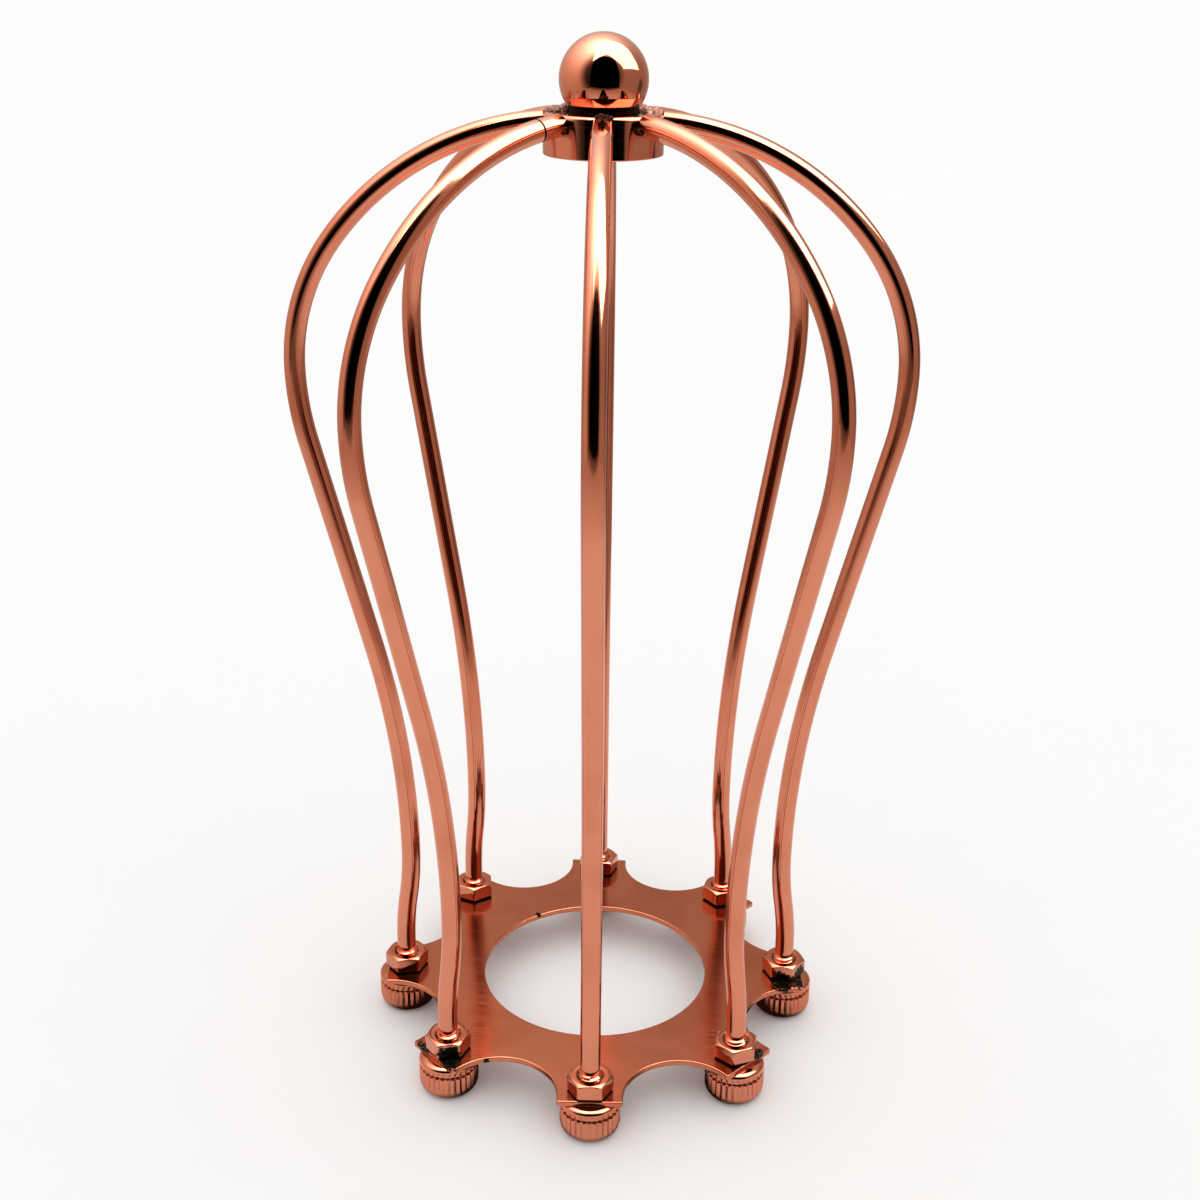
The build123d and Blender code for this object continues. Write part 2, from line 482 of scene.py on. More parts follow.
@dataclass(frozen=True)
class WeldMetal:
    """Weld metal with a thin flash of copper: dull grains, with painted shade darkening the gaps between
    them.

    Attributes:
        name: Name of the material.
        bare: Colour of the bare grains.
        flashed: Colour of the grains that took copper.
        gap: Colour of the painted shade in the gaps between the grains.
        gap_range: How far a grain stands proud where the painted shade ends and where the grain shows its own
            colour.
        patch_mm: Size of the patches that took copper.
        patch_range: Values of their noise at which bare metal begins and is full.
        grit_mm: Size of the grit on a grain.
        grit_depth_mm: Depth of that grit.
        roughness: Roughness of the grains, in the hollows and on the tips of the grit.
    """

    name: str
    bare: str
    flashed: str
    gap: str
    gap_range: Point = (0.03, 0.22)
    patch_mm: float = 1.6
    patch_range: Point = (0.4, 0.6)
    grit_mm: float = 0.22
    grit_depth_mm: float = 0.03
    roughness: Point = (0.48, 0.8)

    def material(self) -> Material:
        """Build the weld metal.

        Returns:
            A material for the weld beads.
        """
        material, tree = new_material(self.name)
        place = add_node(tree, "ShaderNodeTexCoord").outputs["Object"]
        grit = add_node(
            tree, "ShaderNodeTexNoise", {"Scale": 1 / (MM * self.grit_mm), "Detail": 3.0}, {"Vector": place})
        patch = add_node(
            tree, "ShaderNodeTexNoise", {"Scale": 1 / (MM * self.patch_mm), "Detail": 3.0}, {"Vector": place})
        start, full = self.patch_range
        share = add_node(
            tree, "ShaderNodeMapRange", {"From Min": start, "From Max": full}, {"Value": patch.outputs[0]})
        metal = add_node(
            tree, "ShaderNodeMix", {"data_type": "RGBA", 6: linear(self.flashed), 7: linear(self.bare)},
            {0: share.outputs[0]})
        # The gaps between the grains are darkened as painted shade, the more the lower a grain's crown.
        crown = add_node(tree, "ShaderNodeAttribute", {"attribute_name": WELD_GRAIN})
        start, full = self.gap_range
        unshaded_share = add_node(
            tree, "ShaderNodeMapRange", {"From Min": start, "From Max": full},
            {"Value": crown.outputs["Fac"]})
        colour = add_node(
            tree, "ShaderNodeMix", {"data_type": "RGBA", 6: linear(self.gap)},
            {0: unshaded_share.outputs[0], 7: metal.outputs[2]})
        hollow, tip = self.roughness
        rough = add_node(
            tree, "ShaderNodeMapRange", {"To Min": hollow, "To Max": tip}, {"Value": grit.outputs[0]})
        bump = add_node(
            tree, "ShaderNodeBump", {"Distance": MM * self.grit_depth_mm}, {"Height": grit.outputs[0]})
        weld = add_node(
            tree, "ShaderNodeBsdfPrincipled", {"Metallic": 1.0},
            {"Base Color": colour.outputs[2], "Roughness": rough.outputs[0], "Normal": bump.outputs[0]})
        add_node(tree, "ShaderNodeOutputMaterial", links={"Surface": weld.outputs[0]})
        return material


# Spatter is steel that froze in drops: the eye gets matt, pinkish-grey grains that glint singly.
SPATTER = WeldMetal("weld spatter with a flash of copper", bare="#A79289", flashed="#A66E57", gap="#4A342C")
# Scale is burnt steel: the eye gets a nearly black crust with a brown copper shimmer. Its colours are
# darkened further as painted shade, for the dark notches where the rib ends meet the cup.
SCALE_AND_NOTCH_SHADE = WeldMetal("weld scale with a flash of copper and painted notch shade", bare="#1E120D", flashed="#5A2E1E", gap="#0A0504")


@dataclass(frozen=True)
class WeldBead:
    """Bead of weld between one rib and the cup.

    Attributes:
        reach: Place of the bead's middle outside the cup's wall.
        lift: Height of its middle over the cup's top.
        length: Length along the rib.
        width: Width across the rib.
        height: Height.
        across: Place of its middle beside the rib.
        metal: Finish of the bead.
    """

    reach: float
    lift: float
    length: float
    width: float
    height: float
    across: float = 0.0
    metal: WeldMetal = SPATTER


class LatheProfile:
    """Outline in the XZ plane that a lathe tool follows and that is then turned into a solid."""

    def __init__(self, radius: float, height: float) -> None:
        """Set the tool down at a radius and height."""
        self.mesh = bmesh.new()
        self.first = self.tip = self.mesh.verts.new((radius, 0.0, height))

    def line_to(self, radius: float, height: float) -> "LatheProfile":
        """Cut straight to a radius and height.

        Args:
            radius: Radius of the cut's end.
            height: Height of the cut's end.

        Returns:
            The profile itself.
        """
        self.tip = bmesh.ops.extrude_vert_indiv(self.mesh, verts=[self.tip])["verts"][0]
        self.tip.co = (radius, 0.0, height)
        return self

    def arc(self, radius: float, height: float, turn: float, steps: int) -> "LatheProfile":
        """Cut an arc.

        Args:
            radius: Radius of the arc's centre.
            height: Height of the arc's centre.
            turn: Degrees that the tool goes round it, anticlockwise with the axis on the left.
            steps: Number of short cuts along the arc.

        Returns:
            The profile itself.
        """
        made = bmesh.ops.spin(
            self.mesh, geom=[self.tip], cent=(radius, 0.0, height), axis=(0.0, -1.0, 0.0),
            angle=math.radians(turn), steps=steps)
        self.tip = next(part for part in made["geom_last"] if isinstance(part, bmesh.types.BMVert))
        return self

    def turn(self, steps: int, closed: bool = True) -> BMesh:
        """Turn the outline round the upright axis.

        Args:
            steps: Number of faces round the axis.
            closed: Whether the outline's end is joined to its start, off the axis.

        Returns:
            The turned mesh.
        """
        if closed and max(self.first.co.x, self.tip.co.x) > 0:
            self.mesh.edges.new((self.tip, self.first))
        bmesh.ops.spin(
            self.mesh, geom=self.mesh.verts[:] + self.mesh.edges[:], cent=ORIGIN, axis=UPRIGHT,
            angle=math.tau, steps=steps, use_merge=True)
        bmesh.ops.remove_doubles(self.mesh, verts=self.mesh.verts, dist=TOUCHING)
        bmesh.ops.recalc_face_normals(self.mesh, faces=self.mesh.faces)
        return self.mesh


class WireBender:
    """Round wire drawn upwards in the XZ plane through straight runs and tangent arcs.

    Each vertex also keeps its place on the unbent wire, so that drawing marks follow the bends.
    """

    def __init__(self, radius: float, start: Point, sides: int, step: float) -> None:
        """Cut the wire's lower end.

        Args:
            radius: Radius of the wire.
            start: Radius and height of the lower end.
            sides: Faces round the wire.
            step: Longest face along an arc.
        """
        self.mesh = bmesh.new()
        self.lay = self.mesh.verts.layers.float_vector.new(WIRE_LAY)
        self.step = step
        self.at = Vector((start[0], 0.0, start[1]))
        self.heading = Vector(UPRIGHT)
        self.run = 0.0
        ring = bmesh.ops.create_circle(self.mesh, cap_ends=True, segments=sides, radius=radius)["verts"]
        bmesh.ops.translate(self.mesh, verts=ring, vec=self.at)
        self.end = ring[0].link_faces[0]
        for vert in ring:
            vert[self.lay] = MM * Vector((vert.co.x - self.at.x, vert.co.y, 0.0))

    def outward(self) -> Vector:
        """Give the direction square to the wire's end that points away from the axis."""
        return Vector((self.heading.z, 0.0, -self.heading.x))

    def straight(self, length: float, swell: float = 1.0) -> "WireBender":
        """Draw a straight run.

        Args:
            length: Length of the run.
            swell: Width of its end over the width of its start.

        Returns:
            The wire itself.
        """
        old = len(self.mesh.verts)
        self._grow(0.0, self.at, self.heading * length, 1)
        far_end = self.at + self.heading * length
        bmesh.ops.scale(
            self.mesh, vec=(swell, swell, swell), space=Matrix.Translation(-far_end), verts=self.end.verts)
        side = self.outward()
        for vert in self._new_verts(old):
            gap = vert.co - self.at
            vert[self.lay] = MM * Vector((gap.dot(side), vert.co.y, self.run + gap.dot(self.heading)))
        self.at += self.heading * length
        self.run += length
        return self

    def arc_to(self, radius: float, height: float) -> "WireBender":
        """Draw the arc that leaves the wire's end smoothly and reaches a radius and height.

        Args:
            radius: Radius of the arc's far end.
            height: Height of the arc's far end.

        Returns:
            The wire itself.
        """
        chord = Vector((radius, 0.0, height)) - self.at
        across = chord.dot(self.outward())
        bend = chord.length_squared / (2 * across)
        angle = 2 * math.atan2(abs(across), chord.dot(self.heading))
        return self.arc(bend, angle)

    def arc(self, bend: float, angle: float) -> "WireBender":
        """Draw an arc.

        Args:
            bend: Radius of the arc, negative where it bends towards the axis.
            angle: Angle of the arc in radians.

        Returns:
            The wire itself.
        """
        side = self.outward()
        centre = self.at + side * bend
        turn = math.copysign(angle, bend)
        old = len(self.mesh.verts)
        self._grow(turn, centre, Vector(ORIGIN), max(2, math.ceil(abs(bend) * angle / self.step)))
        for vert in self._new_verts(old):
            arm = Vector((vert.co.x, 0.0, vert.co.z)) - centre
            off = abs(bend) - arm.length if bend > 0 else arm.length - abs(bend)
            gone = math.atan2(arm.dot(self.heading), -arm.dot(side) * math.copysign(1.0, bend))
            vert[self.lay] = MM * Vector((off, vert.co.y, self.run + abs(bend) * gone))
        spun = Matrix.Rotation(turn, 3, "Y")
        self.at = centre + spun @ (self.at - centre)
        self.heading = spun @ self.heading
        self.run += abs(bend) * angle
        return self

    def cope(self, radius: float, stub: float = 0.01) -> "WireBender":
        """Run the wire's end on to an upright cylinder about the axis.

        Args:
            radius: Radius of the cylinder.
            stub: Short straight run whose end is moved there.

        Returns:
            The wire itself.
        """
        self.straight(stub)
        for vert in self.end.verts:
            flat, way = vert.co.xy, self.heading.xy
            half = flat.dot(way) / way.length_squared
            left = (flat.length_squared - radius * radius) / way.length_squared
            vert.co += self.heading * (-half - math.sqrt(half * half - left))
        return self

    def _grow(self, angle: float, centre: Vector, shift: Vector, steps: int) -> None:
        """Carry the wire's end face round a centre, along a shift, or both.

        Args:
            angle: Angle of the turn in radians.
            centre: Centre of the turn.
            shift: Shift of the end face.
            steps: Number of faces along the way.
        """
        made = bmesh.ops.spin(
            self.mesh, geom=[self.end, *self.end.edges, *self.end.verts], cent=centre, axis=(0.0, 1.0, 0.0),
            dvec=shift / steps, angle=angle, steps=steps)
        self.end = next(part for part in made["geom_last"] if isinstance(part, bmesh.types.BMFace))

    def _new_verts(self, old: int) -> list[bmesh.types.BMVert]:
        """List the vertices made since the mesh had a number of them."""
        self.mesh.verts.ensure_lookup_table()
        return self.mesh.verts[old:]


@dataclass
class Ribs:
    """Eight bent wires, threaded at the foot and welded to the cap.

    Attributes:
        wire_diameter: Diameter of the wire.
        thread_core_diameter: Diameter at the thread's root.
        thread_diameter: Diameter at the thread's crest.
        thread_pitch: Pitch of the thread.
        thread_top: Height of the thread's end.
        thread_turns: Number of turns that are rolled.
        thread_steps: Faces round one turn.
        thread_root_sink: How deep the turns' roots lie in the wire.
        thread_runout: How far the last turn's crest stands over the thread's end.
        thread_profile: Where across a turn its crest begins and ends and where the turn ends, in pitches.
        shoulder: Length of the cone between the thread and the full wire.
        foot_straight: Straight run above the thread.
        waist_height: Height of the waist.
        waist_inset: How far the waist lies inside the foot circle.
        flare_rise: Height from the waist to the widest place.
        flare_reach: How far the widest place lies outside the waist.
        flare_angle: Lean of the straight run between them, in degrees.
        flare_steps: Faces along that run.
        bulge_lower_radius: Bend below the widest place.
        bulge_upper_radius: Bend above the widest place.
        bulge_upper_turn: Angle of that bend, in degrees.
        end_drop: Depth of the wire's end under the top of the cap.
        end_gap: Distance of the last bend's end from the cap's wall.
        sides: Faces round the wire.
        step: Longest face along a bend.
        seam_rib: Number of the rib that shows a seam where its end was pieced on.
        seam_mm: Where along that rib the seam begins and ends.
        finish: Finish of the wire.
    """

    wire_diameter: float = 3.5
    thread_core_diameter: float = 3.2
    thread_diameter: float = 4.0
    thread_pitch: float = 0.7
    thread_top: float = 11.7
    thread_turns: float = 5.0
    thread_steps: int = 28
    thread_root_sink: float = 0.08
    thread_runout: float = 0.1
    thread_profile: tuple[float, float, float] = (0.4116, 0.5684, 0.98)
    shoulder: float = 0.3
    foot_straight: float = 2.0
    waist_height: float = 33.0
    waist_inset: float = 1.5
    flare_rise: float = 91.8
    flare_reach: float = 16.2
    flare_angle: float = 14.2
    flare_steps: int = 12
    bulge_lower_radius: float = 52.0
    bulge_upper_radius: float = 35.0
    bulge_upper_turn: float = 36.0
    end_drop: float = 1.6
    end_gap: float = 0.8
    sides: int = 40
    step: float = 1.2
    seam_rib: int = 6
    seam_mm: Point = (183.0, 183.4)
    # Drawing leaves lines along the wire: the eye gets long, slightly streaked highlights that follow each
    # bend, and a dull brown where the weld's heat went through the copper.
    finish: PlatedCopper = PlatedCopper(
        "copper-plated drawn steel wire", Lay.DRAWN, scorch_mm=(184.0, 189.0))

    def build(self) -> None:
        """Model and fit all eight ribs."""
        plain = self.finish.material()
        # A pieced-on end leaves a gap that the bath did not reach: the eye gets one thin dark ring.
        seamed = replace(
            self.finish, name="copper-plated drawn steel wire with a seam", crevice_mm=self.seam_mm,
            scorch_mm=None).material()
        for index in range(RIB_COUNT):
            mesh = self.wire()
            self.thread(mesh)
            bmesh.ops.rotate(mesh, verts=mesh.verts, cent=ORIGIN, matrix=at_rib(index).to_3x3())
            material = seamed if index + 1 == self.seam_rib else plain
            fit_piece(mesh, f"drawn_wire_rib_{index + 1}", material, Slot.WIRE, f"rib_{index + 1}")

    def wire(self) -> BMesh:
        """Bend the wire of the rib on the +X side.

        Returns:
            The wire's mesh.
        """
        low, _ = box_mm("rib_1")
        _, cap_high = box_mm("cap")
        foot = foot_circle()
        waist = foot - self.waist_inset
        lean = math.radians(self.flare_angle)
        rounding = 1 - math.cos(lean)
        both_bends = (self.flare_rise * math.sin(lean) - self.flare_reach * math.cos(lean)) / rounding
        straight = (self.flare_reach * math.sin(lean) - self.flare_rise * rounding) / rounding
        bend_start = self.thread_top + self.foot_straight

        bender = WireBender(self.thread_core_diameter / 2, (foot, low.z), self.sides, self.step)
        bender.straight(self.thread_top - low.z)
        bender.straight(self.shoulder, self.wire_diameter / self.thread_core_diameter)
        bender.straight(self.foot_straight - self.shoulder)
        bender.arc_to((foot + waist) / 2, (bend_start + self.waist_height) / 2)
        bender.arc_to(waist, self.waist_height)
        bender.arc(both_bends - self.bulge_lower_radius, lean)
        for _ in range(self.flare_steps):
            bender.straight(straight / self.flare_steps)
        bender.arc(-self.bulge_lower_radius, lean)
        bender.arc(-self.bulge_upper_radius, math.radians(self.bulge_upper_turn))
        bender.arc_to(cap_high.x + self.end_gap, cap_high.z - self.end_drop)
        bender.cope(cap_high.x)
        bmesh.ops.recalc_face_normals(bender.mesh, faces=bender.mesh.faces)
        LOG.info("wire of one rib is %.1f mm long", bender.run)
        return bender.mesh

    def thread(self, mesh: BMesh) -> None:
        """Roll the thread on to the foot of the rib on the +X side.

        Args:
            mesh: Mesh of the rib, which takes the thread.
        """
        foot = foot_circle()
        start = self.thread_top + self.thread_runout - (self.thread_turns + 0.5) * self.thread_pitch
        root = self.thread_core_diameter / 2 - self.thread_root_sink
        crest = self.thread_diameter / 2
        crest_start, crest_end, end = self.thread_profile
        tooth = bmesh.ops.create_circle(mesh, cap_ends=True, segments=4, radius=1.0)["verts"]
        corners = ((root, 0.0), (crest, crest_start), (crest, crest_end), (root, end))
        for vert, (radius, share) in zip(tooth, corners):
            vert.co = (foot + radius, 0.0, start + share * self.thread_pitch)
        face = tooth[0].link_faces[0]
        bmesh.ops.spin(
            mesh, geom=[face, *face.edges, *face.verts], cent=(foot, 0.0, 0.0), axis=UPRIGHT,
            dvec=(0.0, 0.0, self.thread_pitch / self.thread_steps), angle=math.tau * self.thread_turns,
            steps=round(self.thread_turns * self.thread_steps))
        bmesh.ops.recalc_face_normals(mesh, faces=mesh.faces)


@dataclass
class HexNuts:
    """Eight hex nuts on the plate, chamfered above and below and countersunk.

    Attributes:
        across_flats: Width over the flats.
        face_diameter: Diameter of the flat face inside the chamfer.
        chamfer_angle: Slope of the chamfer, in degrees.
        countersink_diameter: Diameter of the countersink.
        tapped_diameter: Diameter of the tapped hole.
        turns: Angle at which the spanner left each nut, in degrees.
        edge_round: Rounding of the edges.
        edge_angle: Angle from which an edge is rounded, in degrees.
        side_steps: Faces along one flat.
        finish: Finish of the nuts.
    """

    across_flats: float = 7.0
    face_diameter: float = 6.6
    chamfer_angle: float = 30.0
    countersink_diameter: float = 4.8
    tapped_diameter: float = 4.1
    turns: tuple[float, ...] = (52.0, 26.0, 40.0, 20.0, 11.0, 22.0, 30.0, 6.0)
    edge_round: float = 0.12
    edge_angle: float = 20.0
    side_steps: int = 12
    # Cold forming leaves smooth flats: the eye gets small bright mirrors with soft edges, a dark band of
    # painted shade where the nut's foot meets the plate, and black residue on two of the nuts.
    finish: PlatedCopper = PlatedCopper(
        "copper-plated cold-formed nut", Lay.TURNED, lay_mm=0.25, peel_mm=2.0, pit_share=0.0,
        crevice_mm=(8.0, 8.5), stains=(
            Stain(-24.9, -29.0, 8.9, 3.7, 0.1), Stain(35.5, -3.5, 8.3, 3.0, 0.1),
            Stain(39.0, -2.2, 9.0, 2.8)))

    def build(self) -> None:
        """Model and fit the eight nuts as one piece."""
        low, high = box_mm("hex_nuts")
        out = Matrix.Translation((foot_circle(), 0.0, 0.0))
        mesh = bmesh.new()
        for index, turn in enumerate(self.turns):
            verts = self.nut(mesh, low.z, high.z)
            spot = at_rib(index) @ out @ Matrix.Rotation(math.radians(turn), 4, "Z")
            bmesh.ops.transform(mesh, matrix=spot, verts=verts)
        fit_piece(mesh, "hex_nut_set", self.finish.material(), Slot.HEX_NUT, "hex_nuts")

    def nut(self, mesh: BMesh, bottom: float, top: float) -> list[bmesh.types.BMVert]:
        """Model one nut on the axis.

        Args:
            mesh: Mesh that takes the nut.
            bottom: Height of its lower face.
            top: Height of its upper face.

        Returns:
            The nut's vertices.
        """
        known = set(mesh.verts)
        face, sink, bore = self.face_diameter / 2, self.countersink_diameter / 2, self.tapped_diameter / 2
        sink_drop = sink - bore
        rings = [
            self._ring(mesh, sink, bottom), self._ring(mesh, face, bottom),
            self._hexagon(mesh, bottom, 1.0), self._hexagon(mesh, top, -1.0),
            self._ring(mesh, face, top), self._ring(mesh, sink, top),
            self._ring(mesh, bore, top - sink_drop), self._ring(mesh, bore, bottom + sink_drop),
        ]
        for one, other in zip(rings, rings[1:] + rings[:1]):
            bmesh.ops.bridge_loops(mesh, edges=one + other)
        verts = [vert for vert in mesh.verts if vert not in known]
        faces = list({part for vert in verts for part in vert.link_faces})
        bmesh.ops.recalc_face_normals(mesh, faces=faces)
        edges = {edge for vert in verts for edge in vert.link_edges}
        limit = math.radians(self.edge_angle)
        round_edges(mesh, [edge for edge in edges if edge.calc_face_angle(0.0) > limit], self.edge_round, 2)
        return [vert for vert in mesh.verts if vert not in known]

    def _ring(self, mesh: BMesh, radius: float, height: float) -> list[bmesh.types.BMEdge]:
        """Draw a round ring of edges on the axis.

        Args:
            mesh: Mesh that takes the ring.
            radius: Radius of the ring.
            height: Height of the ring.

        Returns:
            The ring's edges.
        """
        verts = bmesh.ops.create_circle(mesh, segments=6 * self.side_steps, radius=radius)["verts"]
        bmesh.ops.translate(mesh, verts=verts, vec=(0.0, 0.0, height))
        return list({edge for vert in verts for edge in vert.link_edges})

    def _hexagon(self, mesh: BMesh, height: float, away: float) -> list[bmesh.types.BMEdge]:
        """Draw the edge where the flats meet the chamfer cone.

        Args:
            mesh: Mesh that takes the edge.
            height: Height of the nut's face.
            away: Which way the flats lie from that face, 1 above and -1 below.

        Returns:
            The ring's edges.
        """
        face = self.face_diameter / 2
        slope = math.tan(math.radians(self.chamfer_angle))
        edges = self._ring(mesh, face, height)
        for vert in {vert for edge in edges for vert in edge.verts}:
            angle = math.atan2(vert.co.y, vert.co.x) % (math.pi / 3) - math.pi / 6
            radius = self.across_flats / 2 / math.cos(angle)
            vert.co.z += away * (radius - face) * slope
            vert.co.xy = vert.co.xy.normalized() * radius
        return edges


@dataclass
class KnurledNuts:
    """Eight knurled cap nuts under the plate, on which the lampshade stands.

    Attributes:
        floor: Thickness under the blind hole.
        rim_reach: Width of the chamfer at the upper edge.
        rim_drop: Depth of the chamfer's rounded lower edge under the nut's upper face.
        rim_round: Rounding of that edge.
        rim_turn: Angle of that rounding, in degrees.
        rim_edge: Width and height of the small bevel at the upper face.
        foot_radius: Rounding of the lower edge.
        tapped_diameter: Diameter of the blind hole.
        flute_count: Number of flutes round the nut.
        flute_depth: Depth of a flute.
        flute_steps: Faces across a flute.
        flute_start: Height at which the flutes begin, in foot radii.
        flute_run: Height over which they grow to full depth, in foot radii.
        flute_fade: Height over which they end at the rim.
        groove_width: Width of the ring groove.
        groove_depth: Depth of the ring groove.
        groove_drop: Depth of the groove's upper edge under the nut's upper face.
        groove_lip: Chamfer of the groove's lower edge.
        groove_edge: Chamfer of the groove's upper edge.
        finish: Finish of the nuts.
    """

    floor: float = 1.6
    rim_reach: float = 0.65
    rim_drop: float = 0.81
    rim_round: float = 0.7
    rim_turn: float = 60.0
    rim_edge: Point = (0.1, 0.03)
    foot_radius: float = 2.2
    tapped_diameter: float = 4.1
    flute_count: int = 30
    flute_depth: float = 0.3
    flute_steps: int = 6
    flute_start: float = 0.45
    flute_run: float = 0.6
    flute_fade: float = 0.35
    groove_width: float = 0.45
    groove_depth: float = 0.52
    groove_drop: float = 1.7
    groove_lip: float = 0.15
    groove_edge: float = 0.08
    # Turning and knurling leave crisp ridges: the eye gets a row of upright glints and faint rings.
    finish: PlatedCopper = PlatedCopper(
        "copper-plated turned and knurled nut", Lay.TURNED, lay_mm=0.2, peel_mm=2.0, pit_share=0.0,
        roughness=0.08)

    def build(self) -> None:
        """Model and fit the eight nuts."""
        material = self.finish.material()
        for index in range(RIB_COUNT):
            low, high = box_mm(f"cap_nut_{index + 1}")
            middle = (low + high) / 2
            mesh = self.nut((high.x - low.x) / 2, high.z)
            spot = Matrix.Translation((middle.x, middle.y, 0.0)) @ at_rib(index)
            bmesh.ops.transform(mesh, matrix=spot, verts=mesh.verts)
            fit_piece(
                mesh, f"knurled_cap_nut_{index + 1}", material, Slot.KNURLED_NUT, f"cap_nut_{index + 1}")

    def nut(self, radius: float, height: float) -> BMesh:
        """Turn and knurl one nut on the axis.

        Args:
            radius: Radius over the flutes' crests.
            height: Height of the nut.

        Returns:
            The nut's mesh.
        """
        foot, rim, bore = self.foot_radius, height - self.rim_drop, self.tapped_diameter / 2
        groove_top = height - self.groove_drop
        groove_bottom = groove_top - self.groove_width
        groove = radius - self.groove_depth
        edge_width, edge_height = self.rim_edge
        profile = LatheProfile(0.0, 0.0).line_to(radius - foot, 0.0)
        profile.arc(radius - foot, foot, 90.0, 12)
        profile.line_to(radius, foot + self.flute_fade).line_to(radius, groove_bottom - self.groove_lip)
        profile.line_to(radius - self.groove_lip, groove_bottom).line_to(groove, groove_bottom)
        profile.line_to(groove, groove_top).line_to(radius - self.groove_edge, groove_top)
        profile.line_to(radius, groove_top + self.groove_edge)
        profile.line_to(radius, rim - self.flute_fade).line_to(radius, rim)
        profile.arc(radius - self.rim_round, rim, self.rim_turn, 6)
        profile.line_to(radius - self.rim_reach, height - edge_height)
        profile.line_to(radius - self.rim_reach - edge_width, height).line_to(bore, height)
        profile.line_to(bore, self.floor).line_to(0.0, self.floor)
        mesh = profile.turn(self.flute_count * self.flute_steps)
        just_outside = groove + 0.02
        for vert in mesh.verts:
            out = vert.co.xy.length
            if out > just_outside and vert.co.z < rim:
                share = (math.atan2(vert.co.y, vert.co.x) / math.tau * self.flute_count) % 1.0
                depth = self.flute_depth * (1 - abs(2 * share - 1))
                growth = max(0.0, (vert.co.z - self.flute_start * foot) / (self.flute_run * foot))
                fade = max(0.0, (rim - vert.co.z) / self.flute_fade)
                vert.co.xy *= (out - depth * min(1.0, growth, fade)) / out
        return mesh


@dataclass
class BasePlate:
    """Punched plate with scallops, ears and the lampholder hole, its edges rounded by the plating.

    Attributes:
        die_roll: Rounding of the upper edges, where the punch went in.
        edge_round: Rounding of the lower edges.
        edge_angle: Angle from which an edge is rounded, in degrees.
        flat_angle: Angle below which the CAD mesh's triangles are one face, in degrees.
        finish: Finish of the plate.
    """

    die_roll: float = 0.3
    edge_round: float = 0.14
    edge_angle: float = 60.0
    flat_angle: float = 0.5
    # Cold rolling leaves a faint grain one way: the eye gets a redder, duller mirror than on the wire, in
    # which the ribs blur, with dark residue on the ears and two nicks at the edges. Its colours are darker
    # than the wire's as painted shade, for the dimmer room that the flat plate mirrors.
    finish: PlatedCopper = PlatedCopper(
        "copper-plated cold-rolled sheet", Lay.ROLLED, colour="#CF7E5F", shade="#A9583B", lay_mm=0.4,
        lay_length_mm=14.0, roughness=0.13, dulling=0.1, peel_mm=22.0, peel_depth_mm=0.012, stains=(
            Stain(-29.7, -25.5, 9.2, 3.7), Stain(-25.2, -30.2, 9.4, 4.3, 0.1), Stain(29.4, -25.5, 9.0, 3.3),
            Stain(35.6, -5.0, 9.4, 4.1, 0.1), Stain(39.0, -4.0, 9.0, 3.2), Stain(-11.9, 17.8, 7.8, 1.1, 0.2),
            Stain(-18.4, -28.3, 7.5, 0.9, 0.2)))

    def build(self) -> None:
        """Round the edges of a copy of the CAD plate and fit it."""
        near = 1e-3
        mesh = bmesh.new()
        mesh.from_mesh(bpy.data.objects["base_plate"].data)
        bmesh.ops.scale(mesh, vec=(1 / MM, 1 / MM, 1 / MM), verts=mesh.verts)
        bmesh.ops.remove_doubles(mesh, verts=mesh.verts, dist=near)
        bmesh.ops.dissolve_limit(
            mesh, angle_limit=math.radians(self.flat_angle), verts=mesh.verts, edges=mesh.edges)
        low, high = box_mm("base_plate")
        limit = math.radians(self.edge_angle)
        for height, rounding in ((high.z, self.die_roll), (low.z, self.edge_round)):
            sharp = [edge for edge in mesh.edges if edge.calc_face_angle(0.0) > limit]
            rims = [edge for edge in sharp if all(abs(vert.co.z - height) < near for vert in edge.verts)]
            round_edges(mesh, rims, rounding, 4)
        fit_piece(mesh, "punched_base_plate", self.finish.material(), Slot.PLATE, "base_plate")


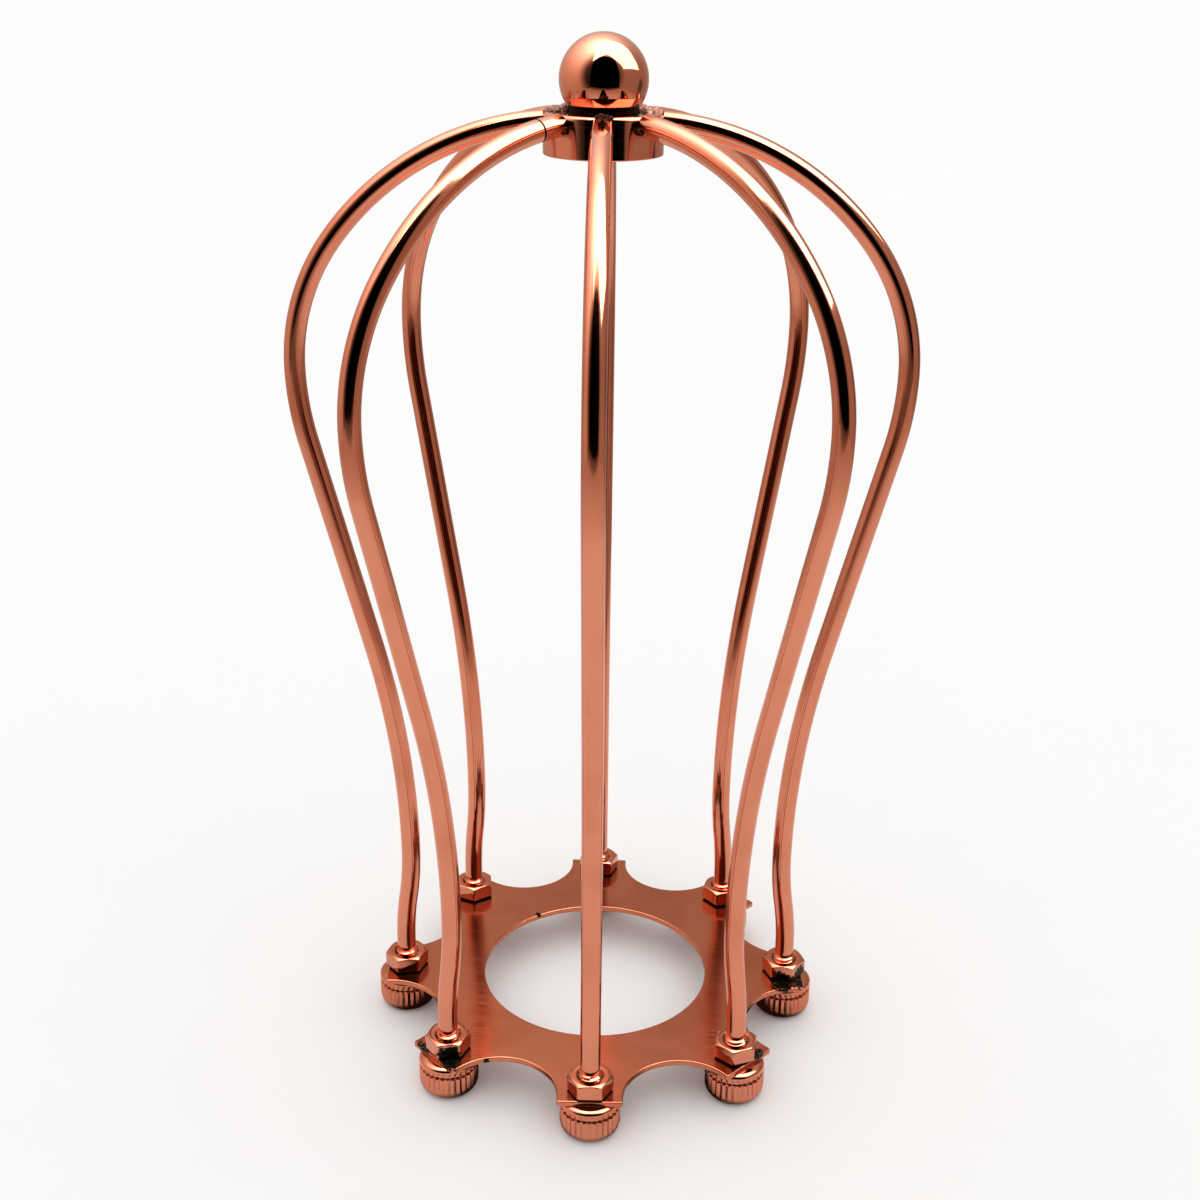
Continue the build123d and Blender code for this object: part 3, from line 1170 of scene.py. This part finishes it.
@dataclass
class Cap:
    """Drawn cup to which the ribs are welded, with the weld beads on its upper corner.

    Attributes:
        wall: Thickness of the side wall.
        top_thickness: Thickness of the top.
        corner_radius: Rounding of the upper corner.
        inner_radius: Rounding of the corner inside.
        lip_round: Rounding of the lower edge.
        hole_diameter: Diameter of the hole for the finial screw.
        beads: Weld bead of each rib.
        bead_lumps: Lumps in a millimetre of bead, and their height.
        grain_mm: Size of a grain of weld spatter.
        grain_rise: How far a grain's crown stands over the gap beside it.
        grain_sink: How far the gaps lie under the bead's skin.
        finish: Finish of the cup.
    """

    wall: float = 1.0
    top_thickness: float = 1.2
    corner_radius: float = 0.7
    inner_radius: float = 0.4
    lip_round: float = 0.2
    hole_diameter: float = 4.3
    beads: tuple[WeldBead, ...] = (
        WeldBead(-2.2, -0.2, 4.6, 3.6, 1.9), WeldBead(-2.0, -0.2, 4.4, 3.6, 1.8),
        WeldBead(-1.6, -0.3, 3.8, 3.2, 1.5), WeldBead(-2.0, -0.2, 4.4, 3.6, 1.9),
        WeldBead(-2.2, -0.2, 4.6, 3.6, 2.0), WeldBead(0.2, -2.3, 1.2, 1.6, 1.3, 1.3, SCALE_AND_NOTCH_SHADE),
        WeldBead(0.1, 0.0, 1.8, 3.0, 1.2, 0.2, SCALE_AND_NOTCH_SHADE), WeldBead(0.3, -2.1, 1.5, 1.8, 1.6, -1.3, SCALE_AND_NOTCH_SHADE))
    bead_lumps: Point = (1.1, 0.45)
    grain_mm: float = 0.3
    grain_rise: float = 0.2
    grain_sink: float = 0.15
    # Deep drawing irons the wall smooth: the eye gets a clean curved mirror with hardly a ring in it.
    finish: PlatedCopper = PlatedCopper(
        "copper-plated drawn steel cup", Lay.TURNED, lay_mm=0.35, peel_mm=2.5, pit_share=0.0)

    def build(self) -> None:
        """Model and fit the cup and its weld beads."""
        low, high = box_mm("cap")
        fit_piece(self.cup(high.x, low.z, high.z), "drawn_cap", self.finish.material(), Slot.CAP, "cap")
        materials = {metal: metal.material() for metal in (SPATTER, SCALE_AND_NOTCH_SHADE)}
        for index, bead in enumerate(self.beads):
            mesh = self.bead(index, bead)
            out = Matrix.Translation((high.x + bead.reach, bead.across, high.z + bead.lift))
            bmesh.ops.transform(mesh, matrix=at_rib(index) @ out, verts=mesh.verts)
            fit_piece(mesh, f"weld_bead_{index + 1}", materials[bead.metal], Slot.CAP)

    def cup(self, radius: float, bottom: float, top: float) -> BMesh:
        """Turn the cup.

        Args:
            radius: Outer radius.
            bottom: Height of the open edge.
            top: Height of the top.

        Returns:
            The cup's mesh.
        """
        wall, lip, corner, fillet = radius - self.wall, self.lip_round, self.corner_radius, self.inner_radius
        ceiling, hole = top - self.top_thickness, self.hole_diameter / 2
        profile = LatheProfile(hole, ceiling).line_to(wall - fillet, ceiling)
        profile.arc(wall - fillet, ceiling - fillet, -90.0, 6).line_to(wall, bottom + lip)
        profile.arc(wall + lip, bottom + lip, 90.0, 5).line_to(radius - lip, bottom)
        profile.arc(radius - lip, bottom + lip, 90.0, 5).line_to(radius, top - corner)
        profile.arc(radius - corner, top - corner, 90.0, 10).line_to(hole, top)
        return profile.turn(TURN_STEPS)

    def bead(self, seed: int, bead: WeldBead) -> BMesh:
        """Lay one weld bead at the origin, along X.

        Args:
            seed: Number that gives the bead its own grains.
            bead: Sizes of the bead.

        Returns:
            The bead's mesh, whose vertices keep how far they stand proud of the gaps between the grains.
        """
        mesh = bmesh.new()
        grain = mesh.verts.layers.float.new(WELD_GRAIN)
        verts = bmesh.ops.create_icosphere(mesh, subdivisions=5, radius=1.0)["verts"]
        bmesh.ops.scale(mesh, vec=(bead.length / 2, bead.width / 2, bead.height / 2), verts=verts)
        # Each bead takes its own place in the noise, so that no two have the same grains.
        drift = Vector((17.3 * seed, 5.1 * seed, 9.7))
        lump_rate, lump_height = self.bead_lumps
        for vert in verts:
            lump = noise.noise(vert.co * lump_rate + drift) * lump_height
            near = noise.voronoi(vert.co / self.grain_mm + drift)[0]
            crown = min(1.0, near[1] - near[0])
            vert[grain] = crown
            vert.co += vert.co.normalized() * (lump + self.grain_rise * math.sqrt(crown) - self.grain_sink)
        bmesh.ops.recalc_face_normals(mesh, faces=mesh.faces)
        return mesh


@dataclass
class BallFinial:
    """Turned ball on a short collar, with the screw that holds it from inside the cap.

    Attributes:
        collar_diameter: Diameter of the collar.
        collar_height: Height of the collar.
        tapped_diameter: Diameter of the tapped hole.
        bore_depth: Depth of the tapped hole.
        edge_round: Rounding of the collar's edges.
        finish: Finish of the ball.
        screw_finish: Finish of the screw.
    """

    collar_diameter: float = 11.2
    collar_height: float = 1.1
    tapped_diameter: float = 4.1
    bore_depth: float = 8.0
    edge_round: float = 0.15
    # Polishing takes off every line: the eye gets the whole studio small and sharp, over a collar darkened
    # with painted shade for the gap under the ball.
    finish: PlatedCopper = PlatedCopper(
        "copper-plated polished ball", Lay.POLISHED, roughness=0.035, dulling=0.03, lay_mm=2.0,
        peel_depth_mm=0.002, pit_share=0.02, crevice_mm=(166.2, 167.3))
    # A screw is plated in a barrel with others: the eye gets a softer, scuffed shine.
    screw_finish: PlatedCopper = PlatedCopper(
        "copper-plated steel screw", Lay.TURNED, roughness=0.14, pit_share=0.0)

    def build(self) -> None:
        """Model and fit the ball, and dress the screw's CAD node."""
        low, high = box_mm("ball_finial")
        radius = (high.x - low.x) / 2
        centre = high.z - radius
        collar, bore, edge = self.collar_diameter / 2, self.tapped_diameter / 2, self.edge_round
        collar_top, bore_top = low.z + self.collar_height, low.z + self.bore_depth
        neck = math.sqrt(radius ** 2 - (centre - collar_top) ** 2)
        lowest = math.degrees(math.asin((centre - collar_top) / radius))
        profile = LatheProfile(0.0, bore_top).line_to(bore, bore_top).line_to(bore, low.z)
        profile.line_to(collar - edge, low.z).arc(collar - edge, low.z + edge, 90.0, 4)
        profile.line_to(collar, collar_top).line_to(neck, collar_top)
        profile.arc(0.0, centre, 90.0 + lowest, TURN_STEPS // 2)
        profile.tip.co.x = 0.0
        mesh = profile.turn(TURN_STEPS)
        fit_piece(mesh, "turned_ball", self.finish.material(), Slot.BALL, "ball_finial")

        screw = bpy.data.objects["finial_screw"]
        screw.data.materials.clear()
        screw.data.materials.append(self.screw_finish.material())
        LOG.info("finial_screw: CAD node with a procedural finish")


@dataclass(frozen=True)
class StudioPaper:
    """Matt studio paper: pale, with a faint cloudiness and tooth that keep the floor from looking flat.

    Attributes:
        name: Name of the material.
        colour: Colour of the paper.
        shade: Colour of its thinner places.
        cloud_mm: Size of those places.
        tooth_mm: Spacing of the paper's tooth.
        tooth_depth_mm: Depth of the tooth.
        roughness: Roughness of the paper.
    """

    name: str = "matt studio paper"
    colour: str = "#FEFEFD"
    shade: str = "#FBFBFA"
    cloud_mm: float = 160.0
    # Real tooth is a few tenths of a millimetre wide. It is drawn as coarse as it needs to show.
    tooth_mm: float = 0.9
    tooth_depth_mm: float = 0.01
    roughness: float = 0.9

    def material(self) -> Material:
        """Build the paper.

        Returns:
            A material for the floor.
        """
        material, tree = new_material(self.name)
        place = add_node(tree, "ShaderNodeTexCoord").outputs["Object"]
        cloud = add_node(
            tree, "ShaderNodeTexNoise", {"Scale": 1 / (MM * self.cloud_mm), "Detail": 2.0}, {"Vector": place})
        tooth = add_node(
            tree, "ShaderNodeTexNoise", {"Scale": 1 / (MM * self.tooth_mm), "Detail": 1.0}, {"Vector": place})
        colour = add_node(
            tree, "ShaderNodeMix", {"data_type": "RGBA", 6: linear(self.colour), 7: linear(self.shade)},
            {0: cloud.outputs[0]})
        bump = add_node(
            tree, "ShaderNodeBump", {"Distance": MM * self.tooth_depth_mm}, {"Height": tooth.outputs[0]})
        paper = add_node(
            tree, "ShaderNodeBsdfPrincipled", {"Roughness": self.roughness, "Specular IOR Level": 0.0},
            {"Base Color": colour.outputs[2], "Normal": bump.outputs[0]})
        add_node(tree, "ShaderNodeOutputMaterial", links={"Surface": paper.outputs[0]})
        return material


@dataclass(frozen=True)
class CardLight:
    """Card that shows only in reflections: a softbox where it is bright, a flag where it is dark.

    Attributes:
        name: Name of the card.
        strength: Brightness of the card.
        colour: Colour of the card.
        fade: Distances from its middle, in card widths, at which the card is clear and at which it is solid.
    """

    name: str
    strength: float
    colour: str = "#FFFFFF"
    fade: Point | None = None

    def material(self) -> Material:
        """Build the card's surface.

        Returns:
            A material that glows, through a fading part where there is one.
        """
        material, tree = new_material(self.name)
        settings = {"Color": linear(self.colour), "Strength": self.strength}
        glow = add_node(tree, "ShaderNodeEmission", settings).outputs[0]
        if self.fade:
            clear, solid = self.fade
            middle = (0.5, 0.5, 0.0)
            across = add_node(tree, "ShaderNodeUVMap").outputs[0]
            apart = add_node(
                tree, "ShaderNodeVectorMath", {"operation": "DISTANCE", 1: middle}, {0: across})
            share = add_node(
                tree, "ShaderNodeMapRange",
                {"interpolation_type": "SMOOTHSTEP", "From Min": clear, "From Max": solid},
                {"Value": apart.outputs["Value"]})
            gap = add_node(tree, "ShaderNodeBsdfTransparent").outputs[0]
            glow = add_node(
                tree, "ShaderNodeMixShader", links={0: share.outputs[0], 1: gap, 2: glow}).outputs[0]
        add_node(tree, "ShaderNodeOutputMaterial", links={"Surface": glow})
        return material


@dataclass(frozen=True)
class TentCloth:
    """Translucent tent cloth lit from above, which only reflections see.

    Attributes:
        middle: Height from which directions are taken.
        name: Name of the material.
        level: Brightness of the cloth low down.
        level_tilt: How much more than that the left side has, and the right side less.
        back_drop: Share of it that the back lacks.
        glow: Brightness that the lamps add on the level of the middle.
        glow_tilt: Share by which that is more on the left and less on the right.
        climb: How fast the glow grows with elevation, per radian.
        opening: Azimuth and elevation of the dark opening at the front, in degrees.
        opening_edge: Angles from there at which the cloth begins and ends to brighten, in degrees.
        opening_level: Share of the brightness that is left in the opening.
        low_tint: Warm colour of the cloth where it is dim.
        tint_range: Elevations at which that colour begins and ends to turn white, in radians.
    """

    middle: float
    name: str = "tent cloth lit from above"
    level: float = 0.52
    level_tilt: float = 0.08
    back_drop: float = 0.2
    glow: float = 0.14
    glow_tilt: float = 0.9
    climb: float = 2.7
    opening: Point = (-5.0, 12.0)
    opening_edge: Point = (36.0, 66.0)
    opening_level: float = 0.05
    low_tint: str = "#FFEADB"
    tint_range: Point = (0.1, 0.75)

    def material(self) -> Material:
        """Build the cloth.

        Returns:
            A material that glows more the higher it hangs, and hardly at the opening.
        """
        material, tree = new_material(self.name)
        place = add_node(tree, "ShaderNodeTexCoord").outputs["Object"]
        middle = (0.0, 0.0, self.middle * MM)
        arm = add_node(tree, "ShaderNodeVectorMath", {"operation": "SUBTRACT", 1: middle}, {0: place})
        way = add_node(tree, "ShaderNodeVectorMath", {"operation": "NORMALIZE"}, {0: arm.outputs[0]})
        split = add_node(tree, "ShaderNodeSeparateXYZ", links={0: way.outputs[0]})
        elevation = add_node(tree, "ShaderNodeMath", {"operation": "ARCSINE"}, {0: split.outputs[2]})
        power = add_node(
            tree, "ShaderNodeMath", {"operation": "MULTIPLY", 1: self.climb}, {0: elevation.outputs[0]})
        growth = add_node(tree, "ShaderNodeMath", {"operation": "EXPONENT"}, {0: power.outputs[0]})
        left, right = self.glow * (1 + self.glow_tilt), self.glow * (1 - self.glow_tilt)
        lamps = add_node(
            tree, "ShaderNodeMapRange", {"From Min": -1.0, "To Min": left, "To Max": right},
            {"Value": split.outputs[0]})
        glow = add_node(
            tree, "ShaderNodeMath", {"operation": "MULTIPLY"}, {0: growth.outputs[0], 1: lamps.outputs[0]})
        left, right = self.level + self.level_tilt, self.level - self.level_tilt
        sides = add_node(
            tree, "ShaderNodeMapRange", {"From Min": -1.0, "To Min": left, "To Max": right},
            {"Value": split.outputs[0]})
        back = add_node(
            tree, "ShaderNodeMapRange", {"To Min": 1.0, "To Max": 1 - self.back_drop},
            {"Value": split.outputs[1]})
        bright = add_node(
            tree, "ShaderNodeMath", {"operation": "MULTIPLY_ADD"},
            {0: sides.outputs[0], 1: back.outputs[0], 2: glow.outputs[0]})

        shut = self._shut(tree, way.outputs[0])
        level = add_node(
            tree, "ShaderNodeMath", {"operation": "MULTIPLY"}, {0: bright.outputs[0], 1: shut})
        low, high = self.tint_range
        rise = add_node(
            tree, "ShaderNodeMapRange", {"From Min": low, "From Max": high}, {"Value": elevation.outputs[0]})
        pale = add_node(tree, "ShaderNodeMath", {"operation": "MULTIPLY"}, {0: rise.outputs[0], 1: shut})
        tint = add_node(
            tree, "ShaderNodeMix", {"data_type": "RGBA", 6: linear(self.low_tint), 7: linear("#FFFFFF")},
            {0: pale.outputs[0]})
        cloth = add_node(
            tree, "ShaderNodeEmission", links={"Color": tint.outputs[2], "Strength": level.outputs[0]})
        add_node(tree, "ShaderNodeOutputMaterial", links={"Surface": cloth.outputs[0]})
        return material

    def _shut(self, tree: NodeTree, way: Socket) -> Socket:
        """Draw the share of light that the opening leaves.

        Args:
            tree: Tree of the material.
            way: Direction from the middle to the cloth.

        Returns:
            The share, which is 1 away from the opening.
        """
        azimuth, height = (math.radians(angle) for angle in self.opening)
        inner, outer = (math.cos(math.radians(angle)) for angle in self.opening_edge)
        level = math.cos(height)
        front = (math.sin(azimuth) * level, -math.cos(azimuth) * level, math.sin(height))
        facing = add_node(tree, "ShaderNodeVectorMath", {"operation": "DOT_PRODUCT", 1: front}, {0: way})
        limits = {"From Min": inner, "From Max": outer, "To Min": self.opening_level}
        share = add_node(
            tree, "ShaderNodeMapRange", {"interpolation_type": "SMOOTHSTEP", **limits},
            {"Value": facing.outputs["Value"]})
        return share.outputs[0]


@dataclass
class Studio:
    """Pale floor, white room, reflection cards and the camera.

    Attributes:
        floor_size: Width of the floor.
        floor_drop: Gap between the feet and the floor.
        camera_reach: Distance of the camera from the axis.
        camera_height: Height of the camera.
        camera_orbit: Angle of the camera round the axis from the front, in degrees.
        camera_yaw: Turn of the camera to the right, in degrees.
        camera_pitch: Downward pitch of the camera, in degrees.
        camera_roll: Anticlockwise roll of the camera, in degrees.
        lens: Focal length on a 36 mm sensor.
        tent_radius: Radius of the light tent.
        tent_height: Height of its upright wall.
        tent_shift: Place of its middle behind the lampshade, negative towards the camera.
        flag_size: Width and height of the black flag at the front.
        flag_place: Place of the flag's middle to the right, and distance in front of the axis.
        flag_shoulder: Rounding of its upper corners.
        sweep: Height and brightness of each strip of paper at the flag's foot.
        sweep_size: Width and height of a strip.
        sweep_lead: How far the first strip stands before the flag, and how far each next one is behind it.
        sweep_tilt: How much a strip rises to the left, in degrees.
        paper_tint: Warm colour of the paper in reflections.
        shadow_size: Width of the shadow at a foot.
        shadow_reach: Place of that shadow from the axis, in shares of the foot's own.
        middle: Middle of the ball, from which the tent and the right card are laid out.
    """

    floor_size: float = 30000.0
    floor_drop: float = 0.02
    camera_reach: float = 267.764
    camera_height: float = 193.508
    camera_orbit: float = 1.0
    camera_yaw: float = 0.051
    camera_pitch: float = 22.244
    camera_roll: float = 0.597
    lens: float = 49.77
    tent_radius: float = 410.0
    tent_height: float = 850.0
    tent_shift: float = -150.0
    flag_size: Point = (640.0, 860.0)
    flag_place: Point = (60.0, 385.0)
    flag_shoulder: float = 300.0
    sweep: tuple[Point, ...] = ((-3.0, 0.34), (20.0, 0.19), (30.0, 0.08))
    sweep_size: Point = (660.0, 30.0)
    sweep_lead: Point = (1.0, 0.2)
    sweep_tilt: float = 2.0
    paper_tint: str = "#FFEADB"
    shadow_size: float = 24.0
    shadow_reach: float = 0.86
    middle: Vector = field(default_factory=lambda: Vector((0.0, 0.0, 171.0)))

    def build(self) -> None:
        """Set up the room, the floor, the camera and the cards."""
        self.room()
        self.floor()
        self.camera()
        self.tent()
        self.softbox()
        self.right_shade()
        self.far_floor()
        self.front_flag()
        self.front_sweep()
        self.foot_shadows()

    def room(self) -> None:
        """Light the scene from a plain white room."""
        world = bpy.data.worlds.new("white_room")
        world.use_nodes = True
        tree = world.node_tree
        tree.nodes.clear()
        glow = add_node(tree, "ShaderNodeBackground", {"Color": linear("#FFFFFF"), "Strength": 1.0})
        add_node(tree, "ShaderNodeOutputWorld", links={"Surface": glow.outputs[0]})
        bpy.context.scene.world = world
        bpy.context.scene.view_settings.view_transform = "Standard"

    def floor(self) -> None:
        """Lay the paper floor just under the feet."""
        mesh = bmesh.new()
        verts = bmesh.ops.create_grid(mesh, x_segments=1, y_segments=1, size=self.floor_size / 2)["verts"]
        bmesh.ops.translate(mesh, verts=verts, vec=(0.0, 0.0, -self.floor_drop))
        hand_over(mesh, "studio_floor", StudioPaper().material())

    def camera(self) -> None:
        """Put the camera where the photograph was taken."""
        data = bpy.data.cameras.new("photo_camera")
        data.sensor_width = 36.0
        data.lens = self.lens
        data.clip_start, data.clip_end = 0.01, 100.0
        camera = bpy.data.objects.new("photo_camera", data)
        orbit = Matrix.Rotation(math.radians(self.camera_orbit), 4, "Z")
        spot = Matrix.Translation((0.0, -self.camera_reach * MM, self.camera_height * MM))
        yaw = Matrix.Rotation(math.radians(-self.camera_yaw), 4, "Z")
        pitch = Matrix.Rotation(math.radians(90.0 - self.camera_pitch), 4, "X")
        roll = Matrix.Rotation(math.radians(self.camera_roll), 4, "Z")
        camera.matrix_world = orbit @ spot @ (yaw @ pitch) @ roll
        bpy.context.scene.collection.objects.link(camera)
        bpy.context.scene.camera = camera

    def tent(self) -> None:
        """Pitch the light tent that the plating mirrors: dim at the floor, bright overhead."""
        profile = LatheProfile(self.tent_radius, 0.0).line_to(self.tent_radius, self.tent_height)
        mesh = profile.arc(0.0, self.tent_height, 90.0, 16).turn(64, closed=False)
        bmesh.ops.translate(mesh, verts=mesh.verts, vec=(0.0, self.tent_shift, 0.0))
        self._hide_from_camera(hand_over(mesh, "light_tent", TentCloth(middle=self.middle.z).material()))

    def softbox(self) -> None:
        """Hang a bent softbox over the lampshade and down its right side."""
        near = (
            (-120.0, -165.0, 371.0), (24.0, -90.0, 371.0), (127.0, -141.0, 371.0), (205.0, -150.0, 330.0),
            (190.0, -129.0, 275.0))
        far = (
            (0.0, 62.0, 371.0), (60.0, 82.0, 371.0), (120.0, 100.0, 371.0), (235.0, 75.0, 330.0),
            (223.0, 56.0, 222.0))
        mesh = bmesh.new()
        verts = bmesh.ops.create_grid(mesh, x_segments=len(near) - 1, y_segments=1, size=0.5)["verts"]
        for vert, place in zip(verts, near + far):
            vert.co = place
        self._hide_from_camera(hand_over(mesh, "softbox", CardLight("softbox", 7.0).material()))

    def right_shade(self) -> None:
        """Hang a dim card with a soft edge low on the right."""
        spot = self.facing(azimuth=108.0, elevation=-12.0, distance=300.0)
        self.card(CardLight("right_shade", 0.12, fade=(0.5, 0.2)), spot, width=130.0, height=160.0)

    def far_floor(self) -> None:
        """Let the plating mirror a paper that is dimmer away from the lampshade."""
        over_floor = 0.4
        light = CardLight("far_floor", 0.6, self.paper_tint, fade=(0.11, 0.33))
        self.card(light, Matrix.Translation((0.0, 0.0, over_floor)), width=1200.0, height=1200.0)

    def front_flag(self) -> None:
        """Stand a black flag with rounded shoulders behind the camera."""
        (width, height), (right, front) = self.flag_size, self.flag_place
        place = Matrix.Translation((right, -front, height / 2)) @ Matrix.Rotation(math.pi / 2, 4, "X")
        mesh = bmesh.new()
        verts = bmesh.ops.create_grid(mesh, x_segments=1, y_segments=1, size=0.5)["verts"]
        bmesh.ops.transform(mesh, matrix=place @ Matrix.Diagonal((width, height, 1.0, 1.0)), verts=verts)
        top = [vert for vert in mesh.verts if vert.co.z > height / 2]
        bmesh.ops.bevel(
            mesh, geom=top, offset=self.flag_shoulder, offset_type="OFFSET", affect="VERTICES", segments=10,
            profile=0.5, material=-1)
        self._hide_from_camera(hand_over(mesh, "front_flag", CardLight("front_flag", 0.0).material()))

    def front_sweep(self) -> None:
        """Let the paper floor end at the flag's foot in a rising, ever darker curl."""
        (right, front), (lead, step) = self.flag_place, self.sweep_lead
        slant = Matrix.Rotation(math.radians(self.sweep_tilt), 4, "Y")
        for index, (height, strength) in enumerate(self.sweep):
            spot = Matrix.Translation((right, lead - front - step * index, height)) @ slant
            light = CardLight(f"front_sweep_{index + 1}", strength, self.paper_tint)
            self.card(light, spot @ Matrix.Rotation(math.pi / 2, 4, "X"), *self.sweep_size)

    def foot_shadows(self) -> None:
        """Dim the floor that each foot mirrors, as its own shadow on a real table does."""
        over_floor = 0.15
        for index in range(RIB_COUNT):
            low, high = box_mm(f"cap_nut_{index + 1}")
            middle = (low + high) / 2 * self.shadow_reach
            spot = Matrix.Translation((middle.x, middle.y, over_floor))
            light = CardLight(f"foot_shadow_{index + 1}", 0.02, "#FFC8B0", fade=(0.5, 0.3))
            self.card(light, spot, self.shadow_size, self.shadow_size)

    def facing(self, azimuth: float, elevation: float, distance: float) -> Matrix:
        """Give a place from which a card faces the ball.

        Args:
            azimuth: Place of the card from the camera's side round to the right, in degrees.
            elevation: Place of the card above the middle of the ball, in degrees.
            distance: Distance from that middle.

        Returns:
            The place and turn of the card.
        """
        swing = Matrix.Rotation(math.radians(azimuth), 4, "Z")
        tip = Matrix.Rotation(math.radians(90.0 - elevation), 4, "X")
        return Matrix.Translation(self.middle) @ (swing @ tip) @ Matrix.Translation((0.0, 0.0, distance))

    def card(self, light: CardLight, spot: Matrix, width: float, height: float) -> None:
        """Put up a card.

        Args:
            light: What the card shows.
            spot: Place and turn of the card.
            width: Width of the card.
            height: Height of the card.
        """
        mesh = bmesh.new()
        mesh.loops.layers.uv.new("card")
        verts = bmesh.ops.create_grid(mesh, x_segments=1, y_segments=1, size=0.5, calc_uvs=True)["verts"]
        bmesh.ops.transform(mesh, matrix=spot @ Matrix.Diagonal((width, height, 1.0, 1.0)), verts=verts)
        self._hide_from_camera(hand_over(mesh, light.name, light.material()))

    def _hide_from_camera(self, card: bpy.types.Object) -> None:
        """Leave a card to reflections only."""
        card.visible_camera = card.visible_diffuse = card.visible_transmission = card.visible_shadow = False


def main() -> None:
    """Build the lampshade and the studio."""
    logging.basicConfig(level=logging.INFO, format="%(message)s", force=True)
    for assembly in (Ribs(), BasePlate(), HexNuts(), KnurledNuts(), Cap(), BallFinial(), Studio()):
        assembly.build()


if __name__ == "__main__":
    main()
